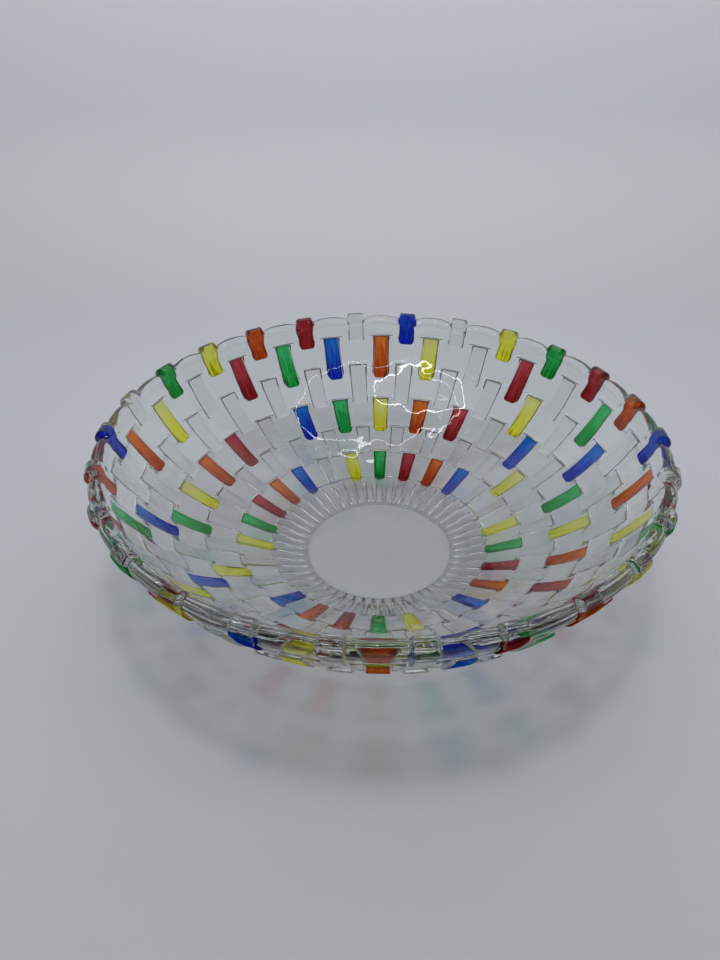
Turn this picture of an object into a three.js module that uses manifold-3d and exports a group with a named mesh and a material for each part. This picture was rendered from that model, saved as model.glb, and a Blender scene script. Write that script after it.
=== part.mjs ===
// Pressed clear glass bowl with a basket-weave relief outside and thin transparent colour coats
// on many of its raised staves. Millimetres, +Z up, origin at the centre of the flat base.
import * as THREE from "three";
import { mergeVertices } from "three/addons/utils/BufferGeometryUtils.js";
import Module from "manifold-3d";

// Bowl
const BASE_RADIUS = 42; // flat disc that the bowl rests on
const BASE_THICKNESS = 7;
const WALL_RADIUS = 149; // where the wall's curve is measured to, between the staves
const WALL_RISE = 82.8; // height of the wall's curve at that radius
const WALL_STRAIGHT = 0.51; // share of the rise that is a plain cone; the rest curls up near the rim
const WALL_CURL = 4.4; // power of that curl
const WALL_THICKNESS = 6.3;
const LIP_START = 148; // beyond this radius a rim stave bends over in a half-round lip
const WALL_END = 147.4; // between the rim staves the wall ends here, in the same half-round
const LIP_RADIUS = WALL_THICKNESS / 2;

// Staves: six rows, each row set half a pitch round from its neighbours
const STAVES = 26;
const PITCH = (2 * Math.PI) / STAVES;
const SIDES = 2 * STAVES; // the bowl has one flat facet under each stave
const FIRST_STAVE = Math.PI / 2 + 7.5 * PITCH; // angle of rim stave 0, counted clockwise from above
const STAVE_STAND = 2.7; // how far a stave stands out of the wall
const STAVE_ROOT = 1.2; // how deep its solid runs into the wall before the two are joined

// Colour coats, fired on the staves' outer faces
const COAT = 0.4;
const COAT_GAP = 0.3;
const COAT_INSET = 0.3; // the coat stops short of the stave's edges

// From the rim down: the radii of the two ends of a stave, its width, and half a pitch of shift or none.
const ROWS = [
  { name: "rim", inner: 140.3, outer: LIP_START, width: 11.7, shift: 0 },
  { name: "upper", inner: 126.6, outer: 143.2, width: 11.2, shift: 0.5 },
  { name: "shoulder", inner: 112.6, outer: 132.7, width: 10.6, shift: 0 },
  { name: "middle", inner: 96, outer: 116.6, width: 9.7, shift: 0.5 },
  { name: "lower", inner: 78.9, outer: 99.5, width: 8.5, shift: 0 },
  { name: "foot", inner: 61.7, outer: 82.3, width: 7.1, shift: 0.5 },
];
// The coated rows, one letter per stave from stave 0 on, "-" where the glass is left clear.
const COATS = {
  rim: "OB-GYOR-B-YGROB-GYOR--BYGR",
  upper: "-OY-RGBOY-R-G-OY-RGBOY-R-G",
  middle: "GYOR-BGYOR-B-GYOR-BGYOR-B-",
};
const COLOURS = {
  O: { name: "orange", color: 0xc8561a },
  B: { name: "blue", color: 0x0f2fa8 },
  G: { name: "green", color: 0x128a45 },
  Y: { name: "yellow", color: 0xc9bd22 },
  R: { name: "red", color: 0x8f1420 },
};
const COAT_ROUGHNESS = 0.1;
const WALL_STEPS = 10;
const STAVE_STEPS = 1; // the wall curves less than half a millimetre along one stave
const LIP_STEPS = 4;
const COATED_LIP = Math.PI / 2; // how far over the lip a rim coat reaches

const wasm = await Module();
wasm.setup();

const steps = (count, from, to) =>
  Array.from({ length: count + 1 }, (_, i) => from + ((to - from) * i) / count);

// A place on the wall's outer face: its point, its outward normal, and the share of its full
// stand that a stave has there.
function wallStation(radius) {
  const span = WALL_RADIUS - BASE_RADIUS;
  const t = (radius - BASE_RADIUS) / span;
  const curl = (1 - WALL_STRAIGHT) * t ** WALL_CURL;
  const curlSlope = (1 - WALL_STRAIGHT) * WALL_CURL * t ** (WALL_CURL - 1);
  return {
    point: new THREE.Vector2(radius, WALL_RISE * (WALL_STRAIGHT * t + curl)),
    normal: new THREE.Vector2((WALL_RISE / span) * (WALL_STRAIGHT + curlSlope), -1).normalize(),
    share: 1,
  };
}

// A place on the half-round lip of a wall that ends at a radius, at an angle from the wall's outer
// face (0) to its inner face (pi).
function lipStation(end, angle) {
  const wall = wallStation(end);
  const normal = wall.normal.clone().rotateAround(new THREE.Vector2(), angle);
  const centre = wall.point.clone().addScaledVector(wall.normal, -LIP_RADIUS);
  return {
    point: centre.addScaledVector(normal, LIP_RADIUS),
    normal,
    share: Math.cos(angle / 2),
  };
}

const raised = (station, height) =>
  station.point.clone().addScaledVector(station.normal, height);

// The stations of a row's stave; a rim stave carries on over the lip, as far as the given angle.
function staveStations(row, lipAngle) {
  const stations = steps(STAVE_STEPS, row.inner, row.outer).map(wallStation);
  if (row.outer !== LIP_START) return stations;
  const lip = steps(LIP_STEPS, 0, lipAngle).slice(1);
  return stations.concat(lip.map((angle) => lipStation(LIP_START, angle)));
}

// A strip that follows the stations between two faces, its width laid across the bowl's radius on +X.
function strip(under, over, width) {
  const shape = new THREE.Shape([...over, ...under.reverse()]);
  const geometry = new THREE.ExtrudeGeometry(shape, { depth: width, bevelEnabled: false });
  return geometry.translate(0, 0, -width / 2).rotateX(Math.PI / 2);
}

function staveGeometry(row) {
  const stations = staveStations(row, Math.PI);
  return strip(
    stations.map((s) => raised(s, -STAVE_ROOT)),
    stations.map((s) => raised(s, STAVE_STAND * s.share)),
    row.width,
  );
}

function coatGeometry(row) {
  const inset = { ...row, inner: row.inner + COAT_INSET };
  if (row.outer !== LIP_START) inset.outer -= COAT_INSET;
  const stations = staveStations(inset, COATED_LIP);
  return strip(
    stations.map((s) => raised(s, STAVE_STAND * s.share + COAT_GAP)),
    stations.map((s) => raised(s, STAVE_STAND * s.share + COAT_GAP + COAT)),
    row.width - 2 * COAT_INSET,
  );
}

// The plain bowl: base, outer wall, lip, inner wall and inner floor, turned about the axis.
function bowlGeometry() {
  const wall = steps(WALL_STEPS, BASE_RADIUS, WALL_END).map(wallStation);
  const lip = steps(LIP_STEPS, 0, Math.PI).slice(1, -1).map((angle) => lipStation(WALL_END, angle));
  const inside = wall.map((s) => raised(s, -WALL_THICKNESS)).filter((p) => p.y > BASE_THICKNESS);
  const profile = [
    new THREE.Vector2(0, 0),
    ...wall.map((s) => s.point),
    ...lip.map((s) => s.point),
    ...inside.reverse(),
    new THREE.Vector2(BASE_RADIUS, BASE_THICKNESS),
    new THREE.Vector2(0, BASE_THICKNESS),
  ];
  const geometry = new THREE.LatheGeometry(profile, SIDES).rotateX(Math.PI / 2);
  return geometry.rotateZ(PITCH / 4); // puts a facet's middle, not its edge, under each stave
}

function solidOf(geometry) {
  const bare = geometry.clone();
  bare.deleteAttribute("normal");
  bare.deleteAttribute("uv");
  const merged = mergeVertices(bare, 1e-4);
  const mesh = new wasm.Mesh({
    numProp: 3,
    vertProperties: Float32Array.from(merged.attributes.position.array),
    triVerts: Uint32Array.from(merged.index.array),
  });
  return new wasm.Manifold(mesh);
}

function geometryOf(solid) {
  const mesh = solid.getMesh();
  const geometry = new THREE.BufferGeometry();
  geometry.setAttribute("position", new THREE.BufferAttribute(mesh.vertProperties, 3));
  geometry.setIndex(new THREE.BufferAttribute(mesh.triVerts, 1));
  geometry.computeVertexNormals();
  return geometry;
}

const staveAngle = (row, index) => FIRST_STAVE - (index + row.shift) * PITCH;

// The glass body: the plain bowl with every stave joined to it.
function glassBody() {
  let solid = solidOf(bowlGeometry());
  for (const row of ROWS) {
    for (let i = 0; i < STAVES; i++) {
      solid = solid.add(solidOf(staveGeometry(row).rotateZ(staveAngle(row, i))));
    }
  }
  const glass = new THREE.MeshStandardMaterial({ color: 0xdfe6e8, roughness: 0.05, metalness: 0 });
  glass.transparent = true;
  glass.opacity = 0.4;
  const mesh = new THREE.Mesh(geometryOf(solid), glass);
  mesh.name = "glass_body";
  return mesh;
}

// The coats of one row, each a thin strip lying on its stave's outer face.
function colourCoats(row) {
  const group = new THREE.Group();
  [...(COATS[row.name] ?? "")].forEach((letter, i) => {
    if (letter === "-") return;
    const { name, color } = COLOURS[letter];
    const paint = new THREE.MeshStandardMaterial({ color, roughness: COAT_ROUGHNESS, metalness: 0 });
    const mesh = new THREE.Mesh(coatGeometry(row), paint);
    mesh.name = `${row.name}_coat_${String(i).padStart(2, "0")}_${name}`;
    mesh.rotation.z = staveAngle(row, i);
    group.add(mesh);
  });
  return group;
}

const bowl = new THREE.Group();
bowl.add(glassBody());
for (const row of ROWS) bowl.add(colourCoats(row));

export default bowl;
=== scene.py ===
import math

import bpy
import numpy as np
from mathutils import Matrix, Vector


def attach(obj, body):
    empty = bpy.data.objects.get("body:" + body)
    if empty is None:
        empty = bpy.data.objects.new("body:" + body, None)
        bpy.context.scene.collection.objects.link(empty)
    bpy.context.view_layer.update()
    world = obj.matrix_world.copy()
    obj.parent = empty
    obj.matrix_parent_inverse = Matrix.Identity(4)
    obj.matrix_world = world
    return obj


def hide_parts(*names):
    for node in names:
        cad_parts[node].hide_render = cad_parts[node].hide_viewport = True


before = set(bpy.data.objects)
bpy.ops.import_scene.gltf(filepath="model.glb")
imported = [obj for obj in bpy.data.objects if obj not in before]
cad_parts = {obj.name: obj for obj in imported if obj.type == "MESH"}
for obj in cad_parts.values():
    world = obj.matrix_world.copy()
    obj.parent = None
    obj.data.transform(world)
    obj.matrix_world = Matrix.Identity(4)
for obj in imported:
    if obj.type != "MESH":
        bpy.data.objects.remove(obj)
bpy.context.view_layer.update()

MM = 0.001

# ---------------------------------------------------------------- the bowl's dimensions, mm
BASE_RADIUS = 42.0
BASE_THICKNESS = 7.0
FILLET_START = 52.0                 # inside, the wall curves into the floor from here down
FLAT_FLOOR = 0.7                    # share of the floor's radius that is flat, inside that curve
FOOT_RECESS = 0.15                  # depth of the hollow inside the ring that the bowl stands on
RECESS_RADIUS = 34.0                # the hollow is level out to here,
RING_INNER = 41.0                   # and is gone from here
WALL_RADIUS = 149.0
WALL_RISE = 82.8
WALL_STRAIGHT = 0.51
WALL_CURL = 4.4
WALL_THICKNESS = 6.3
LIP_START = 148.0
LIP_RADIUS = WALL_THICKNESS / 2

STAVES = 26
SLOTS = 2 * STAVES                  # stave places round the bowl; rows use every second one in turn
PITCH = 2 * math.pi / STAVES
FIRST_STAVE = math.pi / 2 + 7.5 * PITCH
STAVE_STAND = 2.7
STAVE_FALL = 0.35                   # share of its stand that a stave has lost at its inner end
STAVE_FLANK = 1.5                   # width of the sloping flank on each side of a stave
STAVE_SLOPE = 3.6                   # length of the slope at its inner end
STAVE_ROUND = 0.9                   # radius of the round at its outer end
ROOT = 1.14                         # a stave's width at the root of its flanks, in mean widths
PLAIN = 1.25 * STAVE_STAND          # the stand given to the base and the inside: above any stave's

BAND_STAND = 1.5
BAND_DIP = 0.75                     # share of its stand that a band has lost under a stave
BAND_FADE = 0.65                    # share that it loses along a soft edge
BAND_UNDER = 4.2                    # it goes this far under the row above it, fading out
CRISP_START, CRISP_ROUND = 0.25, 1.2        # where its crisp edge begins, and that edge's radius
CRISP_PAST, CRISP_BLEND = 0.6, 1.5          # the crisp edge's reach past a stave, and its run-out
SOFT_START, SOFT_LENGTH = -1.6, 3.6         # where its soft edge begins, and that edge's length
BAND_REACH = (4.0, 4.5)             # this far past its inner and outer edges it stops
PAST_LIP = 40.0                     # the rim band's outer edge is this far past the wall's end

# From the rim down: name, radii of a stave's two ends, width, coats ("-" is clear glass).
ROWS = [
    ("rim", 140.3, LIP_START, 10.2, "OB-GYOR-B-YGROB-GYOR--BYGR"),
    ("upper", 126.6, 143.2, 11.2, "-OY-RGBOY-R-G-OY-RGBOY-R-G"),
    ("shoulder", 112.6, 132.7, 10.6, "B----------Y-B----------Y-"),
    ("middle", 96.0, 116.6, 9.7, "GYOR-BGYOR-B-GYOR-BGYOR-B-"),
    ("lower", 78.9, 99.5, 8.5, "------------Y------------Y"),
    ("foot", 61.7, 82.3, 7.1, "YGROB-YGROB--YGROB-YGROB--"),
]
FOOT_WIDTH = 6.0                    # of a stave's place at the wall's foot
RIM_FLARE = 11.1                    # of a rim stave where it goes over the lip
SLOT_SHARE = 0.91                   # the most of its slot that a stave's place takes up

# The ribs round the base, one in each slot.
RIB_INNER, RIB_OUTER, RIB_WIDTH, RIB_STAND = 42.5, 63.5, 4.8, 1.9
RIB_FLANK = 0.6                     # share of a rib's half width that is its sloping side
RIB_SLOPE, RIB_ROUND = 5.0, 3.5     # length of the slope at its inner end, radius of its outer end

# The lip between two rim staves is a low arch, with a notch beside each stave.
ARCH_DROP = 0.8
NOTCH_DROP = 2.4
ARCH_POWER = 2.5                    # the higher, the flatter the arch and the narrower the notches
LIP_BLEND = 14.0                    # the wall takes up the arch's shape over this length
LIP_BEAD = 1.1                      # the wall is this much thinner below the lip,
BEAD_START, BEAD_LENGTH = 1.5, 3.0  # which begins this far below it and takes this long

# Each coat's name, and its colour where the enamel is thick and where it is thin.
COLOURS = {
    "O": ("orange", (0.60, 0.060, 0.0012), (0.97, 0.27, 0.040)),
    "B": ("blue", (0.0006, 0.009, 0.56), (0.022, 0.25, 0.84)),
    "G": ("green", (0.002, 0.40, 0.045), (0.08, 0.72, 0.24)),
    "Y": ("yellow", (0.97, 0.95, 0.008), (0.99, 0.99, 0.36)),
    "R": ("red", (0.36, 0.004, 0.008), (0.70, 0.090, 0.115)),
}


# ---------------------------------------------------------------- the wall's curve
def wall_point(radius):
    """The plain wall's outer face at a radius: point (r, z) and outward normal, mm."""
    span = WALL_RADIUS - BASE_RADIUS
    t = np.clip((radius - BASE_RADIUS) / span, 0.0, None)
    curled = 1 - WALL_STRAIGHT
    height = WALL_RISE * (WALL_STRAIGHT * t + curled * t ** WALL_CURL)
    slope = WALL_RISE / span * (WALL_STRAIGHT + curled * WALL_CURL * t ** (WALL_CURL - 1))
    length = np.sqrt(1 + slope ** 2)
    return np.array([radius, height]), np.array([slope / length, -1 / length])


# Arc length along the wall, measured from the base's edge.
_radii = np.linspace(BASE_RADIUS, LIP_START, 2000)
_points = wall_point(_radii)[0]
_lengths = np.concatenate([[0], np.cumsum(np.hypot(*np.diff(_points, axis=1)))])
WALL_LENGTH = float(_lengths[-1])


def arc_at(radius):
    """The arc length at a radius."""
    return float(np.interp(radius, _radii, _lengths))


def radius_at(arc):
    """The radius at an arc length, or at each of several."""
    return np.interp(arc, _lengths, _radii)


def smooth(value):
    """0 below 0, 1 above 1, with a smooth step between."""
    t = np.clip(value, 0, 1)
    return t * t * (3 - 2 * t)


def rounded(distance, width):
    """0 outside an edge, 1 inside, with a quarter-round of the given width between."""
    t = np.clip(distance / width, 0, 1)
    return np.sqrt(np.clip(1 - (1 - t) ** 2, 0, 1))


# ---------------------------------------------------------------- the relief
def half_width(radius):
    """Half a stave's width at its root: each row has its own width at its middle radius."""
    places = [BASE_RADIUS] + [(row[1] + row[2]) / 2 for row in ROWS][::-1] + [WALL_RADIUS]
    widths = [FOOT_WIDTH] + [row[3] for row in ROWS][::-1] + [RIM_FLARE]
    most = SLOT_SHARE * PITCH / 4 * radius
    return np.minimum(ROOT * np.interp(radius, places, widths) / 2, most)


def from_band(parity, across, radius, index):
    """Distance round the bowl from the middle of the row's band, half way between two staves."""
    return np.where(parity == index % 2, PITCH / 2 * radius - across, across)


def lip_rise(parity, across, radius):
    """How far the wall's end lies past LIP_START: none at a rim stave, and below it in between."""
    side = half_width(radius)
    middle = from_band(parity, across, radius, 0)
    gap = PITCH / 2 * radius - side
    arch = -ARCH_DROP - (NOTCH_DROP - ARCH_DROP) * np.clip(middle / gap, 0, 1) ** ARCH_POWER
    stave = np.where(parity == 0, smooth((side - across) / STAVE_FLANK), 0)
    return arch * (1 - stave)


def stave_height(along, across, side, index):
    """A stave rises over its own band and sinks under the next ones. A rim stave has no outer end:
    it goes on over the lip."""
    _name, inner, outer, _width, _coats = ROWS[index]
    low, top = arc_at(inner), arc_at(outer)
    inward = np.clip((top - along) / (top - low), 0, 1)
    crest = STAVE_STAND * (1 - STAVE_FALL * inward ** 3)
    flanks = smooth((side - across) / STAVE_FLANK)
    height = crest * flanks * smooth((along - low) / STAVE_SLOPE)
    return height if index == 0 else height * rounded(top - along, STAVE_ROUND)


def faded(share):
    """A band's height along a soft edge, from the faded height at 0 to all of it at 1."""
    return 1 - BAND_FADE + BAND_FADE * smooth(share)


def band_edges(index):
    """Where a band ends: at its inner side under the next row's staves or at the ribs, and at its
    outer side under the row above, or well past the lip."""
    last = index == len(ROWS) - 1
    inner = arc_at(RIB_OUTER if last else ROWS[index + 1][2])
    return inner, arc_at(ROWS[index - 1][1]) if index else WALL_LENGTH + PAST_LIP


def band_height(along, middle, side, half_pitch, index):
    """A band is highest half way between its staves and dips under each of them. Its edge is crisp
    where the next row's stave comes out from under it, and soft elsewhere."""
    inner_edge, outer_edge = band_edges(index)
    shape = 1 - np.clip(middle / half_pitch, 0, 1) ** 3
    over_stave = 1 - smooth((middle - side - CRISP_PAST) / CRISP_BLEND)
    crisp = rounded(along - inner_edge - CRISP_START, CRISP_ROUND)
    soft = faded((along - inner_edge - SOFT_START) / SOFT_LENGTH)
    inner_side = crisp * over_stave + soft * (1 - over_stave)
    outer_side = faded((outer_edge - along + BAND_UNDER) / BAND_UNDER)
    height = BAND_STAND * (1 - BAND_DIP + BAND_DIP * shape) * inner_side * outer_side
    inside = (along > inner_edge - BAND_REACH[0]) & (along < outer_edge + BAND_REACH[1])
    return np.where(inside, height, 0)


def relief(parity, across, radius, along):
    """How far the outer face stands out of the plain wall.

    parity: which set of rows has its staves at this slot; across: distance round the bowl from the
    slot's middle; along: the way along the wall from its foot, and on over the lip.
    """
    half_pitch = PITCH / 2 * radius
    side = half_width(radius)
    height = np.zeros_like(across)
    for index in range(len(ROWS)):
        middle = from_band(parity, across, radius, index)
        band = band_height(along, middle, side, half_pitch, index)
        stave = np.where(parity == index % 2, stave_height(along, across, side, index), 0)
        height = np.maximum(height, np.maximum(stave, band))
    rib = RIB_STAND * smooth((RIB_WIDTH / 2 - across) / (RIB_FLANK * RIB_WIDTH / 2))
    inner_end = smooth((along - arc_at(RIB_INNER)) / RIB_SLOPE)
    outer_end = rounded(arc_at(RIB_OUTER) - along, RIB_ROUND)
    return np.maximum(height, rib * inner_end * outer_end)


# ---------------------------------------------------------------- the bowl's grid
# Places across one slot, in shares of the stave's half width (up to 1) and of the rest (past 1).
ACROSS = [0.0, 0.62, 0.74, 0.82, 0.9, 1.0, 1.3]
SLOT_EDGE = 2.0
# Stations along the wall, mm: evenly spaced ones, and more round the ends of staves and ribs.
EVEN_STATIONS = 30
ROUND_INNER_END = (0, 1.1, 2.2, 3.3, 4.5)
ROUND_OUTER_END = (-0.95, -0.55, -0.2, 0.1, 0.4, 0.8, 1.5)
LEAST_STEP, LAST_STEP = 0.28, 0.4   # between two stations, and before the wall's end
LIP_STATIONS = 9
BELOW_LIP = (1.5, 3.0, 4.5, 6.0, 8.0)       # the inside's first stations
INSIDE_STATIONS = 12                # the others, down to the start of the curve into the floor
FLOOR_SHARES = (0.95, 0.9, 0.85, 0.8, 0.75, 0.7, 0.4)

# One slot's columns, up to the edge that it shares with the next slot.
SHARES = [-share for share in ACROSS[:0:-1]] + ACROSS + [SLOT_EDGE]
COLUMN_SLOT = np.repeat(np.arange(SLOTS), len(SHARES))
COLUMN_SHARE = np.tile(SHARES, SLOTS)


def column_places(radius):
    """Every column's angle at a radius, and its distance round the bowl from its slot's middle."""
    half = half_width(radius)
    quarter = PITCH / 4 * radius
    size = np.abs(COLUMN_SHARE)
    across = np.where(size <= 1, half * size, half + (quarter - half) * (size - 1))
    angle = FIRST_STAVE - COLUMN_SLOT * PITCH / 2 - np.sign(COLUMN_SHARE) * across / radius
    return angle, across


def outer_arcs():
    """Places along the wall, closer together at the ends of staves, bands and ribs."""
    arcs = list(np.linspace(0, WALL_LENGTH, EVEN_STATIONS))
    for radius in [row[1] for row in ROWS] + [RIB_INNER]:
        arcs += [arc_at(radius) + step for step in ROUND_INNER_END]
    for radius in [row[2] for row in ROWS[1:]] + [RIB_OUTER]:
        arcs += [arc_at(radius) + step for step in ROUND_OUTER_END]
    kept = [0.0]
    for arc in sorted(arcs):
        if arc - kept[-1] > LEAST_STEP and arc <= WALL_LENGTH - LAST_STEP:
            kept.append(arc)
    return kept + [WALL_LENGTH]


def stations():
    """The section's stations from the base's middle, up the outside, over the lip and down the
    inside: kind, and the place along it."""
    underside = [(12.0, FOOT_RECESS), (RECESS_RADIUS, FOOT_RECESS),
                 ((RECESS_RADIUS + RING_INNER) / 2, FOOT_RECESS / 2), (RING_INNER, 0.0)]
    made = [("under", place) for place in underside]
    made += [("wall", arc) for arc in outer_arcs()]
    made += [("lip", angle) for angle in np.linspace(0, math.pi, LIP_STATIONS + 1)[1:]]
    inside = [WALL_LENGTH - step for step in BELOW_LIP]
    inside += list(np.linspace(WALL_LENGTH - LIP_BLEND, arc_at(FILLET_START), INSIDE_STATIONS))
    made += [("inside", arc) for arc in inside]
    edge, height = inner_point(inside[-1])
    for share in FLOOR_SHARES:
        climb = max(0.0, (share - FLAT_FLOOR) / (1 - FLAT_FLOOR)) ** 2
        made.append(("floor", (edge * share, BASE_THICKNESS + (height - BASE_THICKNESS) * climb)))
    return made


def inner_point(arc):
    """The inside's point (r, z) across the wall from a place well below the lip."""
    point, normal = wall_point(radius_at(arc))
    return point - normal * (WALL_THICKNESS - LIP_BEAD)


def section(kind, place, rise):
    """Every column's point (r, z), normal and way along the outer face at one station. The way is
    None where there is no relief."""
    if kind in ("under", "floor"):
        facing = -1.0 if kind == "under" else 1.0
        flat = np.ones_like(rise)
        point = np.array([place[0] * flat, place[1] * flat])
        return point, np.array([0 * flat, facing * flat]), None
    if kind == "lip":
        end, outward = wall_point(radius_at(WALL_LENGTH + rise))
        c, s = math.cos(place), math.sin(place)
        normal = np.array([outward[0] * c - outward[1] * s, outward[0] * s + outward[1] * c])
        return end - (outward - normal) * LIP_RADIUS, normal, WALL_LENGTH + LIP_RADIUS * place
    below = WALL_LENGTH - place
    point, normal = wall_point(radius_at(place + rise * smooth(1 - below / LIP_BLEND)))
    if kind == "wall":
        return point, normal, place
    thickness = WALL_THICKNESS - LIP_BEAD * smooth((below - BEAD_START) / BEAD_LENGTH)
    return point - normal * thickness, -normal, None


STATIONS = stations()


def bowl_grid():
    """Every grid point (station, column) in mm, its normal in section, its way along the wall, and
    how far the relief stands out there."""
    points = np.zeros((len(STATIONS), len(COLUMN_SLOT), 3))
    normals = np.zeros_like(points)
    stand = np.full(points.shape[:2], PLAIN)
    ways = np.full(len(STATIONS), -1.0)
    parity = COLUMN_SLOT % 2
    rise = lip_rise(parity, column_places(LIP_START)[1], LIP_START)
    for i, (kind, place) in enumerate(STATIONS):
        (r, z), (out, up), along = section(kind, place, rise)
        reference = float(np.clip(r.max(), BASE_RADIUS, WALL_RADIUS))
        angle, across = column_places(reference)
        if along is not None:
            ways[i] = along
            fade = math.cos(place / 2) if kind == "lip" else 1.0
            height = relief(parity, across, reference, along) * fade
            stand[i] = height
            r = r + out * height
            z = np.maximum(z + up * height, 0)
        c, s = np.cos(angle), np.sin(angle)
        points[i] = np.stack([r * c, r * s, z], 1)
        normals[i] = np.stack([out * c, out * s, up], 1)
    return points, normals, ways, stand


def mesh_object(name, vertices, faces):
    """A smooth-shaded mesh object, its vertices in metres."""
    mesh = bpy.data.meshes.new(name)
    mesh.from_pydata(vertices.tolist(), [], faces)
    mesh.update()
    mesh.shade_smooth()
    made = bpy.data.objects.new(name, mesh)
    bpy.context.scene.collection.objects.link(made)
    return made


def glass_body(points, stand):
    """The whole glass as one closed mesh: the grid, and a point in the middle of each end of it."""
    rows, columns = points.shape[:2]
    middles = [[0, 0, FOOT_RECESS], [0, 0, BASE_THICKNESS]]
    vertices = np.concatenate([points.reshape(-1, 3), middles]) * MM
    faces = []
    for i in range(rows - 1):
        for j in range(columns):
            k = (j + 1) % columns
            here, after = i * columns, (i + 1) * columns
            faces.append((here + j, after + j, after + k, here + k))
    bottom, top = rows * columns, rows * columns + 1
    last = (rows - 1) * columns
    for j in range(columns):
        k = (j + 1) % columns
        faces.append((bottom, j, k))
        faces.append((top, last + k, last + j))
    made = mesh_object("woven_glass_body", vertices, faces)
    add_attribute(made, "relief", np.append(stand.ravel(), [PLAIN, PLAIN]) / PLAIN)
    return made


def add_attribute(piece, name, values):
    """A number or a vector for each point of a piece."""
    kind, key = ("FLOAT", "value") if values.ndim == 1 else ("FLOAT_VECTOR", "vector")
    attribute = piece.data.attributes.new(name, kind, "POINT")
    attribute.data.foreach_set(key, values.astype(np.float32).ravel())


# ---------------------------------------------------------------- the coats
COAT_UNDER = 0.12       # mm: the film is fused in, and starts this far inside the glass
COAT_OVER = 0.12        # and ends this far outside it
COAT_INSET = (0.25, 0.35)   # it stops this far short of its stave's inner and outer end
COAT_STEP = 0.2         # its rows of points are at least this far apart
# how far across its stave a coat of each row goes, in half widths at the stave's root
COAT_REACH = {"rim": 0.85, "upper": 0.75, "shoulder": 0.76,
              "middle": 0.80, "lower": 0.86, "foot": 0.98}
COAT_COLUMNS = 17
COAT_CORNER = 2.3       # radius of the corners at its inner end,
MOST_CORNER = 0.8       # but at most this share of its half width
CORNER_ROWS = 7         # rows of points round them
OUTER_CORNER = 0.3      # the corners at its outer end, in inner corners
BRUSH_LENGTH = 0.1      # the streaks are longer than wide by the inverse of this
BRUSH_SHIFT = 7.0       # from one slot to the next, so that no two coats have the same streaks
RIM_COAT_END = 0.20     # share of the lip's half turn that a rim coat covers
CAP_REACH = 1.06        # a rim coat goes down the stave's flanks where it caps the lip
CAP_LENGTH = 4.5        # and widens to that over this length of the wall
RIM_THINNING = 0.5      # how much a rim coat thins along its length, next to the others


def coat_ways(index, ways):
    """Places along the wall for a coat's rows: the bowl's own, and more round the corners."""
    _name, inner, outer, _width, _coats = ROWS[index]
    low, high = arc_at(inner) + COAT_INSET[0], arc_at(outer) - COAT_INSET[1]
    if index == 0:
        high = WALL_LENGTH + LIP_RADIUS * math.pi * RIM_COAT_END
    turns = [k * math.pi / 2 / (CORNER_ROWS - 1) for k in range(CORNER_ROWS)]
    places = [low + COAT_CORNER * (1 - math.cos(turn)) for turn in turns]
    places += [way for way in ways if places[-1] + COAT_STEP < way < high - COAT_STEP]
    return np.array(places + [high])


def corner_cut(radius, distance):
    """What a corner takes off a coat's half width, at a distance from the coat's end."""
    short = np.clip(radius - distance, 0, radius)
    return radius - np.sqrt(radius ** 2 - short ** 2)


def corner_share(places, half, at_outer):
    """How much of its full width a coat has at each place, with rounded corners."""
    corner = min(COAT_CORNER, half * MOST_CORNER)
    cut = corner_cut(corner, places - places[0])
    if at_outer:
        cut += corner_cut(corner * OUTER_CORNER, places[-1] - places)
    return 1 - cut / half


def on_grid(values, ways, places, columns, shares):
    """The grid's values at places along the wall and shares across one slot, without smoothing."""
    rows = np.flatnonzero(ways >= 0)
    block = values[np.ix_(rows, columns)]
    at = np.interp(places, ways[rows], np.arange(len(rows)))
    low = np.clip(at.astype(int), 0, len(rows) - 2)
    part = (at - low)[:, None, None]
    block = block[low] * (1 - part) + block[low + 1] * part
    made = np.zeros((len(places), shares.shape[1], 3))
    for i in range(len(places)):
        for k in range(3):
            made[i, :, k] = np.interp(shares[i], SHARES, block[i, :, k])
    return made


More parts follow.
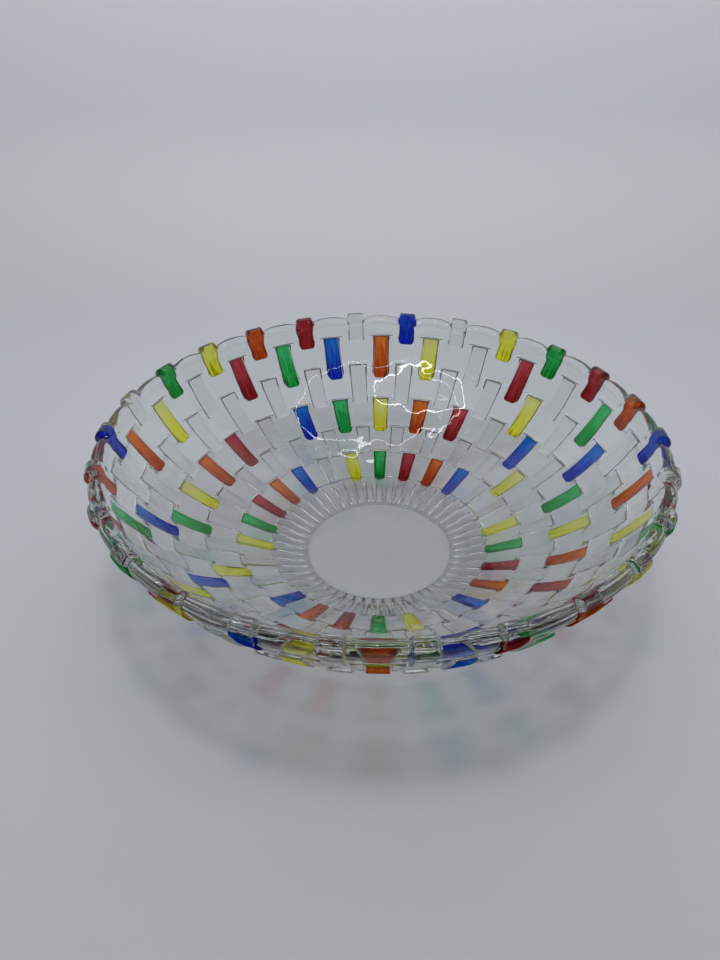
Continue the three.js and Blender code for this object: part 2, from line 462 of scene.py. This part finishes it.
def coat_piece(name, slot, index, points, normals, ways):
    """A thin closed film over one stave's outer face."""
    places = coat_ways(index, ways)
    half = float(half_width((ROWS[index][1] + ROWS[index][2]) / 2))
    across = np.sin(np.linspace(-1, 1, COAT_COLUMNS) * math.pi / 2)
    reach = np.full(len(places), COAT_REACH[ROWS[index][0]])
    if index == 0:
        reach += (CAP_REACH - reach) * smooth(1 - (WALL_LENGTH - places) / CAP_LENGTH)
    widths = corner_share(places, half * reach[0], index > 0) * reach
    shares = widths[:, None] * across[None, :]
    columns = slot * len(SHARES) + np.arange(len(SHARES))
    patch = on_grid(points, ways, places, columns, shares)
    facing = on_grid(normals, ways, places, columns, shares)
    under = patch - facing * COAT_UNDER
    over = patch + facing * COAT_OVER
    n, m = shares.shape
    vertices = np.concatenate([under.reshape(-1, 3), over.reshape(-1, 3)]) * MM
    skip = n * m
    faces = []
    for i in range(n - 1):
        for j in range(m - 1):
            a, b, c, d = i * m + j, (i + 1) * m + j, (i + 1) * m + j + 1, i * m + j + 1
            faces.append((a, d, c, b))
            faces.append((skip + a, skip + b, skip + c, skip + d))
    ring = [(i, 0) for i in range(n)] + [(n - 1, j) for j in range(1, m)]
    ring += [(i, m - 1) for i in range(n - 2, -1, -1)] + [(0, j) for j in range(m - 2, 0, -1)]
    edge = [i * m + j for i, j in ring]
    for a, b in zip(edge, edge[1:] + edge[:1]):
        faces.append((a, b, skip + b, skip + a))
    made = mesh_object(name, vertices, faces)
    along = np.repeat((places - places[0]) / (places[-1] - places[0]), m)
    if index == 0:
        along = along * RIM_THINNING
    across_stave = np.abs(shares / reach[:, None]).reshape(-1)
    brushed = np.stack([shares.reshape(-1) * half, np.repeat(places, m) * BRUSH_LENGTH,
                        np.full(n * m, slot * BRUSH_SHIFT)], 1)
    add_attribute(made, "along_stave", np.tile(along, 2))
    add_attribute(made, "across_stave", np.tile(across_stave, 2))
    add_attribute(made, "brushed", np.tile(brushed, (2, 1)))
    return made


def colour_coats(points, normals, ways):
    """Every coat, with its colour's material. One with a CAD node replaces it."""
    for index, (row, _inner, _outer, _width, letters) in enumerate(ROWS):
        for i, letter in enumerate(letters):
            if letter == "-":
                continue
            colour = COLOURS[letter][0]
            node = f"{row}_coat_{i:02d}_{colour}"
            slot = 2 * i + index % 2
            piece = coat_piece(f"{row}_film_{i:02d}_{colour}", slot, index, points, normals, ways)
            piece.data.materials.append(coat_material(letter))
            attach(piece, "root")
            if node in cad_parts:
                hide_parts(node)


# ---------------------------------------------------------------- materials
# The relief's stand, as a share of PLAIN, against the glass's grey and the light that the glass
# lets through to the floor: dark from the grooves, bright from the crests, even from the base.
# The grey is partly the glass's own tint and partly painted shade, which makes the stave crests
# greyer than the bands and the grooves.
GLASS_GREYS_AND_SHADE = [(0.0, (0.955, 0.966, 0.964)), (0.45, (0.92, 0.934, 0.931)),
               (0.62, (0.81, 0.828, 0.826)), (0.8, (0.80, 0.818, 0.816)),
               (0.9, (0.965, 0.972, 0.971)), (1.0, (0.965, 0.972, 0.971))]
GLASS_SHADOWS = [(0.0, (0.50,) * 3), (0.2, (0.68,) * 3), (0.45, (0.94,) * 3),
                 (0.8, (1.0,) * 3), (0.9, (0.885,) * 3), (1.0, (0.885,) * 3)]
WAVE_SCALE, WAVE_DETAIL, WAVE_DEPTH = 24, 2, 0.0052     # the pressed surface's slight waves
# A coat is thin by its way along the stave, plus its streaks, less a painted shade along its sides.
STREAK_SCALE, STREAK_DETAIL, STREAK_WEIGHT = 0.9, 4, 2.0
SIDE_SHADE, SIDE_SHADE_POWER = -0.8, 10  # painted shade at the very edge, and how closely it keeps there
THICK, THIN = 0.72, 1.92            # that sum at the coat's darkest and palest
DARKEST = 0.35                      # of the deep colour: at the thickest enamel, and in the painted shade along the sides
FAINTEST, FAINT_SHARE = 0.76, 0.22  # the light through a coat: all colours alike, and its own part
DIMMEST = 0.85                      # of that light, where the coat is thick
# the floor's grey, and the paler grey of the backdrop, which is painted light
PAPER_LEVEL, PAPER_RAISED_LIT = (0.46, 0.478, 0.506), (0.77, 0.795, 0.835)


def new_material(name):
    """A material with its nodes, links, shader and output."""
    material = bpy.data.materials.new(name)
    material.use_nodes = True
    nodes = material.node_tree.nodes
    links = material.node_tree.links
    return material, nodes, links, nodes["Principled BSDF"], nodes["Material Output"]


def noise_texture(nodes, links, where, scale, detail):
    noise = nodes.new("ShaderNodeTexNoise")
    noise.inputs["Scale"].default_value = scale
    noise.inputs["Detail"].default_value = detail
    links.new(where, noise.inputs["Vector"])
    return noise.outputs["Fac"]


def colour_ramp(nodes, links, value, stops):
    ramp = nodes.new("ShaderNodeValToRGB")
    elements = ramp.color_ramp.elements
    while len(elements) < len(stops):
        elements.new(0.5)
    for element, (position, colour) in zip(elements, stops):
        element.position = position
        element.color = (*colour, 1)
    links.new(value, ramp.inputs[0])
    return ramp.outputs["Color"]


def let_lamps_through(nodes, links, shader, output, tint):
    """Lamps light what is behind the glass, tinted by it."""
    path = nodes.new("ShaderNodeLightPath")
    clear = nodes.new("ShaderNodeBsdfTransparent")
    mix = nodes.new("ShaderNodeMixShader")
    links.new(tint, clear.inputs["Color"])
    links.new(path.outputs["Is Shadow Ray"], mix.inputs[0])
    links.new(shader.outputs[0], mix.inputs[1])
    links.new(clear.outputs[0], mix.inputs[2])
    links.new(mix.outputs[0], output.inputs["Surface"])


def glass_material():
    material, nodes, links, shader, output = new_material("pressed_clear_glass")
    shader.inputs["IOR"].default_value = 1.5
    shader.inputs["Transmission Weight"].default_value = 1.0
    stand = named_value(nodes, "relief", "Fac")
    # partly the glass's tint, partly painted shade: greyest on the staves' crests
    grey = colour_ramp(nodes, links, stand, GLASS_GREYS_AND_SHADE)
    links.new(grey, shader.inputs["Base Color"])
    where = nodes.new("ShaderNodeTexCoord").outputs["Object"]
    wave = noise_texture(nodes, links, where, WAVE_SCALE, WAVE_DETAIL)
    rough = nodes.new("ShaderNodeMapRange")
    rough.inputs["To Min"].default_value = 0.0
    rough.inputs["To Max"].default_value = 0.03
    links.new(wave, rough.inputs["Value"])
    links.new(rough.outputs[0], shader.inputs["Roughness"])
    bump = nodes.new("ShaderNodeBump")
    bump.inputs["Strength"].default_value = 0.4
    bump.inputs["Distance"].default_value = WAVE_DEPTH
    links.new(wave, bump.inputs["Height"])
    links.new(bump.outputs[0], shader.inputs["Normal"])
    murk = nodes.new("ShaderNodeVolumeAbsorption")
    murk.inputs["Color"].default_value = (0.86, 0.885, 0.88, 1)
    murk.inputs["Density"].default_value = 16.0
    links.new(murk.outputs[0], output.inputs["Volume"])
    tint = colour_ramp(nodes, links, stand, GLASS_SHADOWS)
    let_lamps_through(nodes, links, shader, output, tint)
    return material


def coat_material(letter):
    """One material for all the coats of a colour: thin enamel at the outer end, pooled at the inner
    end, with brush streaks, and a painted shade along the sides."""
    name, deep, pale = COLOURS[letter]
    known = bpy.data.materials.get(f"fired_{name}_film")
    if known:
        return known
    material, nodes, links, shader, output = new_material(f"fired_{name}_film")
    shader.inputs["IOR"].default_value = 1.0
    shader.inputs["Roughness"].default_value = 0.0
    shader.inputs["Transmission Weight"].default_value = 0.9
    along = named_value(nodes, "along_stave", "Fac")
    across = named_value(nodes, "across_stave", "Fac")
    brushed = named_value(nodes, "brushed", "Vector")
    streaks = noise_texture(nodes, links, brushed, STREAK_SCALE, STREAK_DETAIL)
    streaked = add_scaled(nodes, links, streaks, STREAK_WEIGHT, along)
    # painted shade: the coat's colour darkens towards its sides
    edge = nodes.new("ShaderNodeMath")
    edge.operation = "POWER"
    edge.inputs[1].default_value = SIDE_SHADE_POWER
    links.new(across, edge.inputs[0])
    thinness = nodes.new("ShaderNodeMapRange")
    thinness.inputs["From Min"].default_value = THICK
    thinness.inputs["From Max"].default_value = THIN
    total = add_scaled(nodes, links, edge.outputs[0], SIDE_SHADE, streaked)
    links.new(total, thinness.inputs["Value"])
    thin = thinness.outputs[0]
    middle = tuple(0.5 * a + 0.5 * b for a, b in zip(deep, pale))
    darkest = tuple(DARKEST * a for a in deep)
    stops = [(0.0, darkest), (0.3, deep), (0.75, middle), (1.0, pale)]
    links.new(colour_ramp(nodes, links, thin, stops), shader.inputs["Base Color"])
    # a faint shade of the colour, for the light that goes through to the floor
    faint = tuple(FAINTEST + FAINT_SHARE * a ** 0.5 for a in pale)
    dimmer = tuple(DIMMEST * a for a in faint)
    tint = colour_ramp(nodes, links, thin, [(0.0, dimmer), (1.0, faint)])
    let_lamps_through(nodes, links, shader, output, tint)
    return material


def named_value(nodes, name, output):
    attribute = nodes.new("ShaderNodeAttribute")
    attribute.attribute_name = name
    return attribute.outputs[output]


def add_scaled(nodes, links, value, scale, base):
    """base + scale * value"""
    made = nodes.new("ShaderNodeMath")
    made.operation = "MULTIPLY_ADD"
    made.inputs[1].default_value = scale
    links.new(value, made.inputs[0])
    links.new(base, made.inputs[2])
    return made.outputs[0]


# ---------------------------------------------------------------- stage, light and camera
CAMERA_TURN = math.radians(1.77)
CAMERA_PITCH = math.radians(36.21)
CAMERA_ROLL = math.radians(0.42)
CAMERA_OFFSET = Vector((10.7, 26.7, 404.0))    # of the rim's middle, mm: right, up, away
RIM_TOP = 86.7
LENS = 28.84
SENSOR = 36
FLOOR_DROP = 0.15       # mm: the floor lies this far under the foot ring, so that they never cross


def make_camera():
    """The photo's camera: it looks at the rim's middle from the front, at a small turn and roll."""
    right = Vector((1, 0, 0))
    up = Vector((0, math.sin(CAMERA_PITCH), math.cos(CAMERA_PITCH)))
    away = Vector((0, math.cos(CAMERA_PITCH), -math.sin(CAMERA_PITCH)))
    c, s = math.cos(CAMERA_ROLL), math.sin(CAMERA_ROLL)
    right, up = right * c - up * s, right * s + up * c
    place = Vector((0, 0, RIM_TOP)) - right * CAMERA_OFFSET.x
    place = place - up * CAMERA_OFFSET.y - away * CAMERA_OFFSET.z
    data = bpy.data.cameras.new("camera")
    data.lens = LENS
    data.sensor_width = SENSOR
    camera = bpy.data.objects.new("camera", data)
    frame_matrix = Matrix((right, up, -away)).transposed().to_4x4()
    frame_matrix.translation = place * MM
    camera.matrix_world = Matrix.Rotation(CAMERA_TURN, 4, "Z") @ frame_matrix
    bpy.context.scene.collection.objects.link(camera)
    bpy.context.scene.camera = camera


def stage_material():
    """Grey-white paper, painted paler where it stands up behind the bowl: painted light on the
    backdrop.
    """
    material, nodes, links, shader, _output = new_material("pale_paper")
    lift = named_value(nodes, "lift", "Fac")
    # painted light: the paper grows paler as it rises into the backdrop
    paper = colour_ramp(nodes, links, lift, [(0.0, PAPER_LEVEL), (1.0, PAPER_RAISED_LIT)])
    links.new(paper, shader.inputs["Base Color"])
    shader.inputs["Roughness"].default_value = 0.7
    return material


def make_stage():
    """A pale floor that curves up into a backdrop behind the bowl."""
    back, bend, half, front, high, steps = 470.0, 160.0, 3000.0, -3000.0, 2500.0, 16
    section_line = [(front, 0.0), (-600.0, 0.0), (back - bend, 0.0)]
    for k in range(1, steps + 1):
        angle = math.pi / 2 * k / steps
        section_line.append((back - bend + bend * math.sin(angle), bend - bend * math.cos(angle)))
    section_line.append((back, high))
    vertices = [(x, y, z - FLOOR_DROP) for y, z in section_line for x in (-half, half)]
    vertices = np.array(vertices) * MM
    faces = [(2 * i, 2 * i + 1, 2 * i + 3, 2 * i + 2) for i in range(len(section_line) - 1)]
    floor = mesh_object("floor", vertices, faces)
    add_attribute(floor, "lift", np.clip(vertices[:, 2] / (bend * MM), 0, 1))
    floor.data.materials.append(stage_material())


def area_light(name, place, aim, size, power):
    """A soft lamp (metres, watts) that isn't seen itself in or through the glass."""
    data = bpy.data.lights.new(name, "AREA")
    data.shape = "RECTANGLE"
    data.size, data.size_y = size
    data.energy = power
    light = bpy.data.objects.new(name, data)
    light.location = place
    light.rotation_euler = (Vector(aim) - Vector(place)).to_track_quat("-Z", "Y").to_euler()
    light.visible_glossy = False
    light.visible_transmission = False
    bpy.context.scene.collection.objects.link(light)


def ring_lamp(name, centre, radius, tube, strength):
    """A thin round lamp, seen only as its reflection in the glass."""
    bpy.ops.mesh.primitive_torus_add(major_radius=radius, minor_radius=tube, major_segments=96,
                                     minor_segments=8, location=centre)
    lamp = bpy.context.object
    lamp.name = name
    material, nodes, links, shader, output = new_material(name)
    glow = nodes.new("ShaderNodeEmission")
    # none for light already scattered by the floor, which it would only speckle
    path = nodes.new("ShaderNodeLightPath")
    direct = nodes.new("ShaderNodeMath")
    direct.operation = "LESS_THAN"
    direct.inputs[1].default_value = 0.5
    links.new(path.outputs["Diffuse Depth"], direct.inputs[0])
    level = nodes.new("ShaderNodeMath")
    level.operation = "MULTIPLY"
    level.inputs[1].default_value = strength
    links.new(direct.outputs[0], level.inputs[0])
    links.new(level.outputs[0], glow.inputs["Strength"])
    links.new(glow.outputs[0], output.inputs["Surface"])
    nodes.remove(shader)
    lamp.data.materials.append(material)
    lamp.visible_camera = False
    lamp.visible_diffuse = False
    lamp.visible_shadow = False


def make_light():
    world = bpy.data.worlds.new("studio")
    bpy.context.scene.world = world
    world.use_nodes = True
    background = world.node_tree.nodes["Background"]
    background.inputs["Color"].default_value = (0.92, 0.95, 1.0, 1)
    background.inputs["Strength"].default_value = 0.11
    area_light("overhead", (0.0, -0.12, 1.3), (0, 0, 0), (0.2, 0.2), 6)
    area_light("fill", (0.0, 0.3, 1.6), (0, 0.2, 0), (1.8, 1.2), 3.2)
    area_light("backdrop", (0.0, 0.0, 1.0), (0, 0.47, 0.5), (1.8, 0.3), 5.5)
    ring_lamp("ring_lamp", (-0.38, -0.52, 1.2), 0.40, 0.009, 16.0)
    ring_lamp("large_ring_lamp", (0.05, -0.36, 1.2), 0.58, 0.006, 9.0)


def render_settings():
    """Long light paths, for the many faces of the glass that a ray goes through."""
    cycles = bpy.context.scene.cycles
    cycles.max_bounces = 32
    cycles.transmission_bounces = 32
    cycles.glossy_bounces = 8
    cycles.transparent_max_bounces = 64
    cycles.caustics_reflective = False
    cycles.caustics_refractive = True
    cycles.sample_clamp_indirect = 4.0
    cycles.use_denoising = True
    bpy.context.scene.view_settings.view_transform = "Standard"


# ---------------------------------------------------------------- putting it together
make_camera()
make_stage()
make_light()
render_settings()

grid_points, grid_normals, grid_ways, grid_stand = bowl_grid()
body = glass_body(grid_points, grid_stand)
body.data.materials.append(glass_material())
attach(body, "root")
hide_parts("glass_body")
colour_coats(grid_points, grid_normals, grid_ways)
